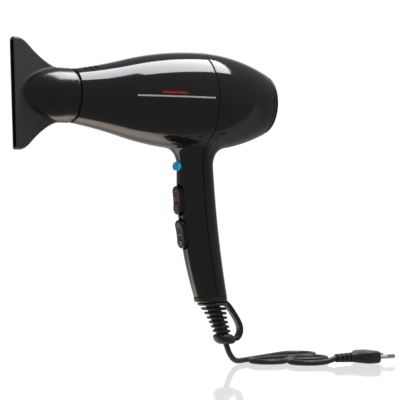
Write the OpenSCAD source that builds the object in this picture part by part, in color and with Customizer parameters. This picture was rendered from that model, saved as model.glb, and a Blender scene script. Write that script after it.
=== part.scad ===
// Hair dryer with a flat concentrator nozzle, a two-switch handle and a corded plug.
// Origin at the middle of the grip. +Z up, -X towards the air outlet, +X towards the intake.

/* [Barrel] */
// Height of the barrel's axis above the middle of the grip
axis_z = 111.5; // [108:0.5:115]
// Largest outside radius of the barrel
barrel_r_max = 45.3; // [44:0.1:47]
// Where along X the barrel is widest
crown_x = -3; // [-6:1:0]
// Radius of the long arc from the crown towards the outlet
front_arc = 290; // [280:5:310]
// Radius of the long arc from the crown to the intake
rear_arc = 160; // [155:1:170]
// Where the front arc turns into the hollow neck
neck_x = -80; // [-84:1:-76]
// Radius of the hollow neck
neck_arc = 420; // [400:5:450]
// Front end of the barrel's shell
shell_front_x = -130; // [-131:0.5:-129]
// Front face of the outlet ring
ring_front_x = -133; // [-134:0.5:-132]
// Rear end of the rear shell, where the intake cover starts
cap_x = 62; // [61:0.5:63]
// Radius of the rounding at the intake's rim
rim_round = 8; // [7:0.5:9]
// Wall thickness of the shells
wall = 2.2; // [2:0.1:2.5]

/* [Handle] */
// Half of the handle's depth along X at the grip
grip_a = 18.6; // [18:0.1:19.5]
// Half of the handle's width along Y, as a share of its half depth
grip_share = 0.87; // [0.84:0.01:0.9]
// Radius of the handle's backward curve
lean_arc = 507; // [480:1:540]
// Lower end of the handle
handle_end_z = -69; // [-70:0.5:-68]
// Radius of the fillet between the handle and the barrel
root_fillet = 16; // [14:0.5:17]

/* [Switches] */
// Middle of the heat rocker
heat_z = 20; // [19:0.5:21]
// Middle of the speed rocker
speed_z = -11; // [-12:0.5:-10.5]
// Length of each rocker
rocker_len = 26.6; // [25:0.1:27]
// Width of each rocker
rocker_w = 13.6; // [12:0.1:14]
// Height of the cold shot button's axis
cold_z = 51.2; // [51:0.1:52]
// Radius of the cold shot button
cold_r = 3.9; // [3.8:0.1:4.4]

/* [Nozzle] */
// Half of the lip's height
lip_half = 49.5; // [46:0.5:51]
// Front edge of the lip
lip_x = -185.7; // [-190:0.1:-184]
// Turn of the nozzle about the barrel's axis
nozzle_turn = -4.5; // [-20:0.5:20]
// Outside thickness of the flat lip
lip_t = 10; // [9:0.5:11]

/* [Cord] */
// Diameter of the cord
cord_d = 5.2; // [5:0.1:5.4]
// Level of the surface that the cord lies on
floor_z = -134; // [-134:1:-134]

/* [Hidden] */
$fn = 96;
e = 0.01;

// Barrel: outside radius at a place along X
function arc_drop(arc, run) = arc - sqrt(arc * arc - run * run);
neck_slope = (crown_x - neck_x) / sqrt(pow(front_arc, 2) - pow(crown_x - neck_x, 2));
function barrel_r(x) =
    x > crown_x ? barrel_r_max - arc_drop(rear_arc, x - crown_x)
    : x > neck_x ? barrel_r_max - arc_drop(front_arc, crown_x - x)
    : barrel_r(neck_x + e) - neck_slope * (neck_x - x) + pow(neck_x - x, 2) / (2 * neck_arc);
rim_x = 65;
rim_a = asin((rim_x - crown_x) / rear_arc);
rim_cx = rim_x - rim_round * sin(rim_a);
rim_cr = barrel_r(rim_x) - rim_round * cos(rim_a);
rear_x = rim_cx + rim_round;

// Handle: centre line, half depth and half width at a height
lean_top_z = 60;
lean_top_x = -4.5;
grip_z = 5;
grip_taper = 0.00047;
fillet_z = 51.5;
fillet_h = 15;
function handle_x(z) = lean_top_x + arc_drop(lean_arc, min(0, z - lean_top_z));
function flare(z) = z < fillet_z ? 0 : arc_drop(root_fillet, min(z - fillet_z, fillet_h));
function handle_a(z) = grip_a - grip_taper * pow(min(z, fillet_z) - grip_z, 2) + flare(z);
function handle_b(z) = (handle_a(z) - flare(z)) * grip_share + 0.6 * flare(z);
handle_rings = [handle_end_z, -60, -48, -34, -20, -6, 8, 22, 36, fillet_z, 56, 60, 63, 65, 66.5, 70, 76];
sides = 32;

// Nozzle: half height of the fan at a place along X
collar_front_x = -143;
fan_x = -177;
collar_r = 24.3;
function fan_half(x) =
    collar_r - 0.3 + (lip_half - collar_r) * pow(max(0, min(1, (collar_front_x - x) / (collar_front_x - fan_x))), 1.6);
spigot_r = 21.2;
spigot_x = -142;

// Sleeve at the handle's end: a leaning axis from the flange to the knob
sleeve_tilt = 21.5;
flange_z = handle_end_z - 2;
sleeve_len = 46;
sleeve_x = handle_x(handle_end_z);
sleeve_end = [sleeve_x + sleeve_len * sin(sleeve_tilt), 0, flange_z - sleeve_len * cos(sleeve_tilt)];

// Cord: the points it follows from the sleeve's end to the plug
lie = floor_z + cord_d / 2;
fold_r = 16.3;
folds = [[137, 42, -1], [76.1, 0.4, 1], [123.2, 0.9, -1], [102, -27.3, 1]]; // centre of each fold, and which way it turns
plug_x = 123.5;
plug_y = folds[3][1] - fold_r;
plug_z = floor_z + 6;
function heading(i) =
    i == 0 ? 30 : i == len(folds) ? 0
    : let (a = folds[i - 1], b = folds[i], dx = b[0] - a[0], dy = b[1] - a[1])
      atan2(dy, dx) + a[2] * asin(2 * fold_r / norm([dx, dy]));
function fold_points(i, steps) =
    let (c = folds[i], turn = c[2] * (heading(i + 1) - heading(i)), sweep = turn - 360 * floor(turn / 360))
    [for (k = [0:steps]) let (q = heading(i) - 90 * c[2] + c[2] * sweep * k / steps) [c[0] + fold_r * cos(q), c[1] + fold_r * sin(q), lie]];
cord_route = concat(
    [sleeve_end, sleeve_end + 4 * [sin(sleeve_tilt), 0, -cos(sleeve_tilt)], [33, 0.7, -122.4], [36.6, 2.1, -126.5],
     [42, 5.2, -129.9], [48.5, 9.3, -131.2], [55.5, 13.8, lie], [74, 24.8, lie], [97, 38, lie]],
    fold_points(0, 9), [[107, 21.6, lie]], fold_points(1, 9), fold_points(2, 9), fold_points(3, 9),
    [[112, plug_y, lie + 0.6], [118, plug_y, lie + 1.8], [plug_x, plug_y, plug_z]]);

module on_barrel() { translate([0, 0, axis_z]) rotate([0, 90, 0]) children(); }

module tube_x(x0, x1, r_out, r_in = 0) {
    on_barrel() translate([0, 0, x0]) difference() {
        cylinder(h = x1 - x0, r = r_out);
        if (r_in > 0) translate([0, 0, -1]) cylinder(h = x1 - x0 + 2, r = r_in);
    }
}

module barrel_solid(x0, x1, inset = 0) {
    steps = 24;
    xs = [for (i = [0:steps]) x0 + (x1 - x0) * i / steps];
    on_barrel() rotate_extrude()
        polygon(concat([[0, x0]], [for (x = xs) [barrel_r(x) - inset, x]], [[0, x1]]));
}

module loft(rings) {
    n = len(rings[0]);
    m = len(rings);
    points = [for (ring = rings) each ring];
    sides_ = [for (j = [0:m - 2], i = [0:n - 1])
        each [[j * n + i, (j + 1) * n + (i + 1) % n, j * n + (i + 1) % n],
              [j * n + i, (j + 1) * n + i, (j + 1) * n + (i + 1) % n]]];
    ends = [[for (i = [0:n - 1]) i], [for (i = [n - 1:-1:0]) (m - 1) * n + i]];
    polyhedron(points, concat(sides_, ends));
}

module handle_solid(inset = 0) {
    loft([for (z = handle_rings) [for (i = [0:sides - 1]) let (a = 360 * i / sides)
        [handle_x(z) + (handle_a(z) - inset) * cos(a), (handle_b(z) - inset) * sin(a),
         z == handle_end_z && inset > 0 ? z + 3 : z]]]);
}

// Everything behind the joint between the two shells
module rear_side() {
    zs = [for (i = [0:8]) lean_top_z - (lean_top_z - handle_end_z + 12) * i / 8];
    rotate([90, 0, 0]) translate([0, 0, -60]) linear_extrude(120)
        polygon(concat([[110, 170], [lean_top_x, 170]], [for (z = zs) [handle_x(z), z]], [[110, zs[8]]]));
}

module body_shell() {
    difference() {
        union() { barrel_solid(shell_front_x, cap_x); handle_solid(); }
        barrel_solid(shell_front_x - 1, cap_x + 1, wall);
        handle_solid(wall);
        sleeve_axis() translate([0, 0, -8]) cylinder(h = 14, r = 6.6);
    }
}

// Frame of one rocker: local +Z points out of the handle, local X runs up the handle
function front_tilt(z) = atan((handle_x(z + 1) - handle_a(z + 1) - handle_x(z - 1) + handle_a(z - 1)) / 2);
module at_rocker(z) {
    translate([handle_x(z) - handle_a(z), 0, z]) rotate([0, front_tilt(z), 0]) rotate([0, -90, 0]) children();
}

module stadium(len, w, h) {
    linear_extrude(h) union() {
        square([len - w, w], center = true);
        for (s = [-1, 1]) translate([s * (len - w) / 2, 0]) circle(d = w);
    }
}

rocker_gap = 0.6;
pivot_depth = 9;
module rocker_hole(z) { at_rocker(z) translate([0, 0, -14]) stadium(rocker_len + 5 * rocker_gap, rocker_w + rocker_gap, 24); }

cold_front = 4.1;
module at_cold_shot() { translate([handle_x(cold_z) - handle_a(cold_z), 0, cold_z]) rotate([0, -90, 0]) children(); }

screw_zs = [38, -46];
module at_screw(z) { translate([handle_x(z), 0, z]) rotate([0, 90, 0]) children(); }

// Three short grip marks pressed into the shell beside the outlet
module grip_marks() {
    for (i = [0:2]) on_barrel() rotate([0, 0, 200])
        translate([barrel_r(-120 + 5 * i) + 0.4, 0, -121 + 5 * i]) rotate([0, 25, 0]) cube([2, 7, 1.8], center = true);
}

module front_shell() {
    color([0.06, 0.06, 0.06]) difference() {
        union() {
            difference() { body_shell(); rear_side(); }
            for (z = screw_zs) at_screw(z) translate([0, 0, -handle_a(z) + 1.4]) cylinder(h = handle_a(z) - 4.4, r = 3);
        }
        for (z = [heat_z, speed_z]) rocker_hole(z);
        at_cold_shot() translate([0, 0, -9]) cylinder(h = 12, r = cold_r + 0.25);
        at_cold_shot() translate([0, 0, -9]) cylinder(h = 9 - wall, r = 6);
        for (z = screw_zs) at_screw(z) translate([0, 0, -12]) cylinder(h = 12, r = 1.1);
        grip_marks();
    }
}

module rear_shell() {
    color([0.06, 0.06, 0.06]) difference() {
        union() {
            intersection() { body_shell(); rear_side(); }
            for (z = screw_zs) at_screw(z) translate([0, 0, -1]) cylinder(h = handle_a(z) - 0.4, r = 4);
        }
        for (z = screw_zs) at_screw(z) {
            translate([0, 0, -5]) cylinder(h = 40, r = 1.5);
            translate([0, 0, 4]) cylinder(h = 40, r = 2.9);
        }
    }
}

module outlet_ring() {
    r = barrel_r(shell_front_x);
    color("black") on_barrel() difference() {
        union() {
            translate([0, 0, ring_front_x]) cylinder(h = shell_front_x - ring_front_x, r = r);
            translate([0, 0, shell_front_x - e]) cylinder(h = 8, r = r - wall - 0.15);
            translate([0, 0, spigot_x]) cylinder(h = ring_front_x - spigot_x + e, r = spigot_r);
        }
        translate([0, 0, spigot_x - 1]) cylinder(h = 30, r = spigot_r - 1.8);
    }
}

module outlet_grille() {
    r = spigot_r - 2;
    color([0.1, 0.1, 0.1]) on_barrel() translate([0, 0, shell_front_x]) {
        for (rr = [5, 10, 15, r]) difference() {
            cylinder(h = 2.4, r = rr);
            translate([0, 0, -1]) cylinder(h = 5, r = rr - 1.2);
        }
        difference() {
            for (i = [0:3]) rotate([0, 0, 45 * i]) translate([-r + 0.6, -0.6, 0]) cube([2 * r - 1.2, 1.2, 2.4]);
            translate([0, 0, -1]) cylinder(h = 5, r = 3.9);
        }
    }
}

// Side outline of the fan, as [along X, height], inset by the wall inside
module fan_outline(inset, front) {
    xs = [for (i = [0:12]) collar_front_x + 6 - (collar_front_x + 6 - fan_x) * i / 12];
    top = concat([for (x = xs) [x, fan_half(x) - inset]], [[front, lip_half - inset]]);
    polygon(concat(top, [for (i = [len(top) - 1:-1:0]) [top[i][0], -top[i][1]]]));
}

module fan(inset, front, t) {
    translate([0, 0, axis_z]) rotate([90, 0, 0]) translate([0, 0, -t / 2]) linear_extrude(t) fan_outline(inset, front);
}

module nozzle_cone(r, half, t, x1) {
    hull() {
        tube_x(x1 - 0.5, x1, r, $fn = 48);
        translate([fan_x - 1, -t / 2, axis_z - half]) cube([0.5, t, 2 * half]);
    }
}

module nozzle() {
    bore = spigot_r + 0.3;
    color([0.14, 0.14, 0.14]) translate([0, 0, axis_z]) rotate([nozzle_turn, 0, 0]) translate([0, 0, -axis_z])
    difference() {
        union() {
            tube_x(collar_front_x - e, ring_front_x - 0.6, collar_r);
            nozzle_cone(collar_r, 13, lip_t, collar_front_x);
            intersection() {
                fan(0, lip_x, lip_t);
                translate([lip_x - 1, -30, axis_z - 60]) cube([collar_front_x - lip_x + 1, 60, 120]);
            }
        }
        tube_x(collar_front_x - 0.3, ring_front_x + 1, bore);
        tube_x(-140.2, -137, bore + 1.2);
        nozzle_cone(bore, 11, lip_t - 4, collar_front_x + 0.2);
        intersection() {
            fan(2, lip_x - 2, lip_t - 4);
            translate([lip_x - 3, -30, axis_z - 60]) cube([collar_front_x - lip_x + 3, 60, 120]);
        }
        for (i = [0:7]) on_barrel() rotate([0, 0, 45 * i + 22]) translate([collar_r - 1, -1.1, ring_front_x - 2.8]) cube([3, 2.2, 3]);
    }
}

module nozzle_snap_ring() {
    color("silver") tube_x(-139.9, -137.3, spigot_r + 1.3, spigot_r + 0.05);
}

module rear_filter_cap() {
    n = 8;
    outer = concat([for (x = [cap_x, 63.5, rim_x]) [barrel_r(x), x]],
        [for (i = [1:n]) let (a = rim_a + (90 - rim_a) * i / n) [rim_cr + rim_round * cos(a), rim_cx + rim_round * sin(a)]]);
    skirt_r = barrel_r(cap_x) - wall - 0.3;
    inner = [[0, rear_x - 2], [rim_cr, rear_x - 2], [skirt_r - 1.4, cap_x + 2], [skirt_r - 1.4, cap_x - 7],
             [skirt_r, cap_x - 7], [skirt_r, cap_x]];
    color([0.08, 0.08, 0.08]) on_barrel() difference() {
        rotate_extrude() polygon(concat(outer, [[0, rear_x]], inner));
        for (ring = [[6, 8], [11.5, 14], [17, 20]])
            for (i = [0:ring[1] - 1]) rotate([0, 0, 360 * i / ring[1]])
                translate([ring[0], 0, rear_x - 4]) cylinder(h = 6, r = 1.9, $fn = 24);
        translate([0, 0, rear_x - 4]) cylinder(h = 6, r = 1.9, $fn = 24);
    }
}

module filter_gauze() {
    color("silver") tube_x(cap_x - 5, cap_x - 4.2, barrel_r(cap_x) - wall - 1.9);
}

module heater_tube() { color([0.8, 0.75, 0.6]) tube_x(-118, -50, 22, 21.2); }

module heater_boards() {
    color([0.85, 0.8, 0.65]) on_barrel() translate([0, 0, -115]) difference() {
        union() {
            translate([-20.9, -0.4, 0]) cube([41.8, 0.8, 62]);
            translate([-0.4, -20.9, 0]) cube([0.8, 41.8, 62]);
        }
        translate([0, 0, 56]) cylinder(h = 10, r = 6);
    }
}

module heater_coils() {
    color("orange") for (i = [0:6]) for (r = [9.5, 16.5])
        on_barrel() translate([0, 0, -108 + 7 * i]) rotate_extrude() translate([r, 0]) circle(r = 0.7, $fn = 16);
}

module thermostat() { color("silver") translate([-64, 2, axis_z + 1]) cube([7, 11, 8]); }

module thermal_fuse() {
    color("white") translate([-64.5, 4, axis_z - 8]) rotate([0, 90, 0]) cylinder(h = 12, r = 2);
}

duct_r = 34.5;
module motor_duct() {
    color([0.15, 0.15, 0.16]) {
        on_barrel() rotate_extrude()
            polygon([[duct_r, 44], [duct_r, -36], [23.6, -49.5], [22, -49.5], [33, -36], [33, 44]]);
        tube_x(-22, 12, 17.6, 16.1);
        for (i = [0:6]) on_barrel() rotate([0, 0, 360 * i / 7]) translate([17.3, -0.7, -18]) cube([16, 1.4, 26]);
    }
}

module motor_can() {
    color("silver") difference() {
        tube_x(-20, 8, 16);
        tube_x(-21, 6.8, 14.8);
        tube_x(5, 9, 3.6);
    }
}

module motor_magnets() {
    color([0.25, 0.25, 0.28]) difference() {
        tube_x(-14, 5, 14.7, 12.6);
        for (a = [0, 90]) on_barrel() rotate([0, 0, a]) translate([-1.5, -20, -20]) cube([3, 40, 40]);
    }
}

module motor_end_cap() {
    color("white") difference() { tube_x(-23, -20, 16); tube_x(-24, -19, 3.6); }
}

module motor_bushings() {
    color("goldenrod") { tube_x(-23, -20, 3.5, 1.2); tube_x(6, 10, 3.5, 1.2); }
}

module motor_shaft() { color("silver") tube_x(-24, 37, 1.15); }

module motor_armature() { color("firebrick") tube_x(-12, 2, 12, 1.15); }

module motor_commutator() { color("peru") tube_x(-18.5, -13, 4, 1.15); }

module impeller() {
    color([0.85, 0.85, 0.85]) {
        difference() { tube_x(18, 34, 11); tube_x(17, 31, 9.4); tube_x(17, 36, 1.15); }
        tube_x(18, 34, 3, 1.15);
        intersection() {
            for (i = [0:8]) on_barrel() rotate([0, 0, 40 * i]) translate([10.6, 0, 26]) rotate([38, 0, 0]) translate([0, -0.6, -10]) cube([24, 1.2, 20]);
            tube_x(18.5, 33.5, 32, 10.6);
        }
    }
}

module impeller_nut() { color("silver") tube_x(34, 36.5, 3, 1.15); }

module switch_carrier() {
    color([0.3, 0.3, 0.3]) hull() for (z = [heat_z, speed_z]) at_rocker(z)
        translate([-11.5, -8, -20.5]) cube([23, 16, 1.5]);
}

module switch_housing(z) {
    at_rocker(z) difference() {
        union() {
            translate([-10, -6.5, -19]) cube([20, 13, 5.5]);
            for (s = [-1, 1]) translate([-3, s * 6 - 1, -14]) cube([6, 2, 7.5]);
        }
        translate([0, 10, -pivot_depth]) rotate([90, 0, 0]) cylinder(h = 20, r = 1.25, $fn = 48);
    }
}

module heat_switch_housing() { color([0.2, 0.2, 0.2]) switch_housing(heat_z); }
module speed_switch_housing() { color([0.2, 0.2, 0.2]) switch_housing(speed_z); }

rocker_top = 3.2;
module rocker(z) {
    at_rocker(z) {
        difference() {
            translate([0, 0, -3.5]) stadium(rocker_len, rocker_w, rocker_top + 3.5);
            translate([0, 20, 63]) rotate([90, 0, 0]) cylinder(h = 40, r = 60.5, $fn = 180);
        }
        translate([-4, -4.6, -pivot_depth]) cube([8, 9.2, 6]);
        translate([0, 6.8, -pivot_depth]) rotate([90, 0, 0]) cylinder(h = 13.6, r = 1.2, $fn = 48);
    }
}

// Bars printed across a rocker: each entry is the distance up the rocker's face
module bars(z, ups) {
    at_rocker(z) for (u = ups) translate([u - 0.5, -3, 60.5 > abs(u) ? 63 - sqrt(60.5 * 60.5 - u * u) - e : 0]) cube([1, 6, 0.25]);
}

module heat_rocker() { color([0.1, 0.1, 0.1]) rocker(heat_z); }
module heat_marks() { color("firebrick") bars(heat_z, [8.2, 2.4, 0.2, -5.4, -7.6, -9.8]); }
module speed_rocker() { color([0.1, 0.1, 0.1]) rocker(speed_z); }
module speed_marks() {
    color("lightgray") {
        bars(speed_z, [-0.6, -7.4, -9.6]);
        at_rocker(speed_z) translate([8, 0, 63 - sqrt(60.5 * 60.5 - 64) - e]) difference() {
            cylinder(h = 0.25, r = 2, $fn = 32);
            translate([0, 0, -1]) cylinder(h = 2, r = 1.2, $fn = 32);
        }
    }
}

module cold_shot_button() {
    color("deepskyblue") at_cold_shot() {
        difference() {
            translate([0, 0, -3]) cylinder(h = 3 + cold_front, r = cold_r);
            translate([0, 0, cold_front - 0.8]) cylinder(h = 2, r = cold_r - 1);
        }
        translate([0, 0, -3.8]) cylinder(h = 1.2, r = 5.4);
        translate([0, 0, -8.4]) cylinder(h = 5, r = 1.5);
    }
}

module cold_shot_spring() {
    color("silver") for (i = [0:3]) at_cold_shot() translate([0, 0, -10.3 + 1.9 * i])
        rotate_extrude() translate([3.2, 0]) circle(r = 0.3, $fn = 16);
}

module cold_shot_switch() {
    color([0.2, 0.2, 0.2]) at_cold_shot() difference() {
        translate([-5, -5, -19]) cube([10, 10, 8]);
        translate([0, 0, -12]) cylinder(h = 2, r = 1.8);
    }
}

module suppressor() { color("gold") translate([handle_x(-36) - 5, -6, -40]) cube([12, 12, 8]); }

// One closed tube through points, its ends square to the given directions; side is never along the tube
module tube_through(points, r, n, first, final, side) {
    last = len(points) - 1;
    loft([for (i = [0:last])
        let (a = points[max(0, i - 1)], b = points[min(last, i + 1)],
             t = i == 0 ? first : i == last ? final : (b - a) / norm(b - a),
             s = cross(side, t) / norm(cross(side, t)),
             u = cross(t, s))
        [for (k = [0:n - 1]) let (q = 360 * (k + 0.5) / n) points[i] + r * (s * cos(q) + u * sin(q))]]);
}

module wire(side) {
    tube_through([[10, 7 * side, -50], [12, 8 * side, -43], [9.5, 8 * side, 0], [7, 8 * side, 38], [5, 9 * side, 56],
                  [-2, 10.5 * side, 64], [-13, 11 * side, 71.5], [-30, 14.5 * side, 75], [-40, 13.5 * side, 77], [-47, 12 * side, 82]],
                 1, 8, [0, 0, 1], [-0.8, 0, 0.6], [0, 1, 0]);
}

module wiring() {
    color("saddlebrown") wire(1);
    color("steelblue") wire(-1);
}

module sleeve_axis() { translate([sleeve_x, 0, flange_z]) rotate([0, 180 - sleeve_tilt, 0]) children(); }

module cord_clamp() {
    color([0.25, 0.25, 0.25]) sleeve_axis() translate([0, 0, -18]) difference() {
        translate([-8, -10, 0]) cube([13, 20, 4]);
        translate([0, 0, -1]) cylinder(h = 6, r = cord_d / 2 + 0.05);
        for (s = [-1, 1]) translate([0, s * 7, -1]) cylinder(h = 6, r = 1.3);
    }
}

module clamp_screws() {
    color("silver") for (s = [-1, 1]) sleeve_axis() translate([0, s * 7, -20]) {
        cylinder(h = 6, r = 1.2);
        translate([0, 0, 0.5]) cylinder(h = 1.4, r = 2.2);
    }
}

module lead_sheath() {
    color([0.05, 0.05, 0.05]) sleeve_axis() translate([0, 0, -18]) cylinder(h = sleeve_len + 18, r = cord_d / 2);
}

module shell_screws() {
    color("silver") for (z = screw_zs) at_screw(z) {
        translate([0, 0, -7]) cylinder(h = 11, r = 1.1);
        translate([0, 0, 4]) cylinder(h = 2, r = 2.6);
    }
}

// A thin stripe standing on the barrel's near side, drawn along X
module stripe(x0, x1, up, h) {
    intersection() {
        difference() { barrel_solid(x0, x1, -0.25); barrel_solid(x0 - 1, x1 + 1, 0); }
        translate([x0, -60, axis_z + up - h / 2]) cube([x1 - x0, 60, h]);
    }
}

module barrel_pinstripe() { color("white") stripe(-82, -9, 0, 1.4); }
module barrel_accent() { color("red") stripe(-60, -36, 3.4, 1.8); }

// Level rings of the sleeve, one under the other down its leaning axis
module at_sleeve(drop) { translate([sleeve_x + drop * tan(sleeve_tilt), 0, flange_z - drop]) children(); }
fins = 7;
fin_pitch = 4.2;
function fin_r(i) = 8 + 6 * exp(-0.42 * i);
module sleeve_fins(grow) {
    for (i = [0:fins - 1]) at_sleeve(5.4 + fin_pitch * i) translate([0, 0, -1.2 - grow]) cylinder(h = 2.4 + 2 * grow, r = fin_r(i) + grow);
}
knob_r = 10.1;
module sleeve_knob(grow) {
    at_sleeve(38) {
        translate([0, 0, 2.6]) cylinder(h = 2.2 + grow, r1 = knob_r + grow, r2 = 8 + grow);
        translate([0, 0, -2.6]) cylinder(h = 5.2 + e, r = knob_r + grow);
        translate([0, 0, -4.6 - grow]) cylinder(h = 2 + grow + e, r1 = 8 + grow, r2 = knob_r + grow);
    }
}

module strain_relief() {
    color([0.08, 0.08, 0.08]) difference() {
        union() {
            translate([sleeve_x, 0, flange_z - 3.4]) linear_extrude(5.4)
                polygon([for (i = [0:47]) [handle_a(handle_end_z) * cos(7.5 * i), handle_b(handle_end_z) * sin(7.5 * i)]]);
            sleeve_axis() {
                translate([0, 0, -10.6]) cylinder(h = 54.6, r = 5.6);
                translate([0, 0, -10.6]) cylinder(h = 1.8, r = 7.6);
            }
            sleeve_fins(0);
            sleeve_knob(0);
        }
        sleeve_axis() translate([0, 0, -20]) cylinder(h = 80, r = cord_d / 2 + 0.02);
    }
}

// Middle line of the hanging strap, as [x, z]
strap_line = [[24, -72.5], [30.5, -77.5], [36.5, -85], [41.5, -92.5], [44, -98.5], [43.8, -104], [41, -108.5], [36.5, -109.6]];
module hanging_loop() {
    color([0.08, 0.08, 0.08]) difference() {
        rotate([90, 0, 0]) translate([0, 0, -3.5]) linear_extrude(7) union() {
            for (i = [0:len(strap_line) - 2]) hull() for (p = [strap_line[i], strap_line[i + 1]]) translate(p) circle(r = 2, $fn = 24);
        }
        translate([sleeve_x - 20, -20, flange_z - 3.4]) cube([45, 40, 20]);
        sleeve_fins(0.05);
        sleeve_knob(0.05);
    }
}

module cord() {
    color([0.07, 0.07, 0.07])
        tube_through(cord_route, cord_d / 2, 10, [sin(sleeve_tilt), 0, -cos(sleeve_tilt)], [1, 0, 0], [0, 0, 1]);
}

plug_w = 30;
plug_len = 43;
plug_t = 12;
pin_gap = 18.6;
module plug_body() {
    color([0.08, 0.08, 0.08]) translate([plug_x, plug_y, plug_z]) {
        difference() {
            rotate([0, 90, 0]) cylinder(h = 18.5, r1 = 3.9, r2 = 4.6);
            for (i = [0:2]) for (s = [-1, 1]) translate([4.5 + 4.8 * i, -6, s * 5.4 - 2]) cube([1.6, 12, 4]);
        }
        hull() {
            translate([17.5, 0, 0]) rotate([0, 90, 0]) cylinder(h = 1, r = 4.6, $fn = 24);
            translate([30, -plug_w / 2, -plug_t / 2]) cube([1, plug_w, plug_t]);
        }
        translate([31 - e, -plug_w / 2, -plug_t / 2]) cube([10, plug_w, plug_t]);
        hull() {
            translate([40.9, -plug_w / 2, -plug_t / 2]) cube([0.1, plug_w, plug_t]);
            translate([plug_len - 0.1, -plug_w / 2 + 2, 1.5 - plug_t / 2]) cube([0.1, plug_w - 4, plug_t - 3]);
        }
    }
}

module plug_sleeves() {
    color("white") for (s = [-1, 1]) translate([plug_x + plug_len, plug_y + s * pin_gap / 2, plug_z])
        rotate([0, 90, 0]) cylinder(h = 10, r = 1.9);
}

module plug_pins() {
    color("silver") for (s = [-1, 1]) translate([plug_x + plug_len + 10, plug_y + s * pin_gap / 2, plug_z]) rotate([0, 90, 0]) {
        cylinder(h = 7.5, r = 2);
        translate([0, 0, 7.5 - e]) cylinder(h = 1.5, r1 = 2, r2 = 1);
    }
}

front_shell();
rear_shell();
outlet_ring();
outlet_grille();
nozzle();
nozzle_snap_ring();
rear_filter_cap();
filter_gauze();
heater_tube();
heater_boards();
heater_coils();
thermostat();
thermal_fuse();
motor_duct();
motor_can();
motor_magnets();
motor_end_cap();
motor_bushings();
motor_shaft();
motor_armature();
motor_commutator();
impeller();
impeller_nut();
switch_carrier();
heat_switch_housing();
speed_switch_housing();
heat_rocker();
heat_marks();
speed_rocker();
speed_marks();
cold_shot_button();
cold_shot_spring();
cold_shot_switch();
suppressor();
wiring();
cord_clamp();
clamp_screws();
lead_sheath();
shell_screws();
barrel_pinstripe();
barrel_accent();
strain_relief();
hanging_loop();
cord();
plug_body();
plug_sleeves();
plug_pins();
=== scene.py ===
# Hair dryer: smooth shells, rubber sleeve, cord and studio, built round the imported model
import bpy, bmesh
from math import sin, cos, tan, asin, atan, atan2, sqrt, pi, radians, degrees, hypot, exp
from mathutils import Vector, Matrix


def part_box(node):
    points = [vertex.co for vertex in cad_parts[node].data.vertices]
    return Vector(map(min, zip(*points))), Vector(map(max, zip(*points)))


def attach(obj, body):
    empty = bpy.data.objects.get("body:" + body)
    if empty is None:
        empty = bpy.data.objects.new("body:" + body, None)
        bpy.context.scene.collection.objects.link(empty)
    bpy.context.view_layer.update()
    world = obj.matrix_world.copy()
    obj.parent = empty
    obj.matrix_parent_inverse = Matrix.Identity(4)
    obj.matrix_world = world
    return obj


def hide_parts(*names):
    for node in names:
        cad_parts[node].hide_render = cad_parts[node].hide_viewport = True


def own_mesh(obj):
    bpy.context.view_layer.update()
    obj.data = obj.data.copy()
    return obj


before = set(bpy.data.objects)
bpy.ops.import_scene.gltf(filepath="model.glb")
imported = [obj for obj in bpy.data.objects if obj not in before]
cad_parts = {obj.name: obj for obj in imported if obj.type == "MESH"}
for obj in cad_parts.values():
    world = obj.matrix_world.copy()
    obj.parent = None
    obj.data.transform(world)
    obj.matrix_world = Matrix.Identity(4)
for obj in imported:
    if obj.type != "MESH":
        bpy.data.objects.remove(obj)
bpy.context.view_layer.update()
scene = bpy.context.scene
mm = 0.001

# helpers for meshes


def linspace(a, b, n):
    return [a + (b - a) * i / (n - 1) for i in range(n)]


def smoothstep(t):
    t = max(0.0, min(1.0, t))
    return t * t * (3 - 2 * t)


def addEdgeLoop(bm, points, closed=True):
    verts = [bm.verts.new(p) for p in points]
    pairs = zip(verts, verts[1:] + verts[:1]) if closed else zip(verts, verts[1:])
    return verts, [bm.edges.new(pair) for pair in pairs]


def lathe(bm, profile, steps=160, closed=True):
    # profile holds (distance along the axis, radius); the axis is X
    verts, edges = addEdgeLoop(bm, [(x, 0, r) for x, r in profile], closed)
    bmesh.ops.spin(bm, geom=verts + edges, cent=(0, 0, 0), axis=(1, 0, 0), dvec=(0, 0, 0),
                   angle=2 * pi, steps=steps, use_merge=True, use_duplicate=False)


def loftRings(bm, rings, caps=True):
    ring, edges = addEdgeLoop(bm, rings[0])
    if caps:
        bmesh.ops.contextual_create(bm, geom=edges)
    for places in rings[1:]:
        grown = set(bmesh.ops.extrude_edge_only(bm, edges=edges)["geom"])
        ring = [next(e.other_vert(v) for e in v.link_edges if e.other_vert(v) in grown) for v in ring]
        for v, p in zip(ring, places):
            v.co = p
        edges = [bm.edges.get(pair) for pair in zip(ring, ring[1:] + ring[:1])]
    if caps:
        bmesh.ops.contextual_create(bm, geom=edges)


def addObject(name, data):
    obj = bpy.data.objects.new(name, data)
    scene.collection.objects.link(obj)
    return obj


def toObject(bm, name, sharp=34.0, merge=0.0005):
    # the mesh is built in millimetres and finished in metres
    bmesh.ops.remove_doubles(bm, verts=bm.verts, dist=merge)
    bmesh.ops.recalc_face_normals(bm, faces=bm.faces)
    bmesh.ops.scale(bm, vec=(mm, mm, mm), verts=bm.verts)
    mesh = bpy.data.meshes.new(name)
    bm.to_mesh(mesh)
    bm.free()
    mesh.shade_smooth()
    mesh.set_sharp_from_angle(angle=radians(sharp))
    return addObject(name, mesh)


def applyModifiers(obj, sharp=34.0):
    bpy.context.view_layer.update()
    graph = bpy.context.evaluated_depsgraph_get()
    mesh = bpy.data.meshes.new_from_object(obj.evaluated_get(graph), depsgraph=graph)
    obj.modifiers.clear()
    obj.data = mesh
    mesh.shade_smooth()
    mesh.set_sharp_from_angle(angle=radians(sharp))


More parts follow.
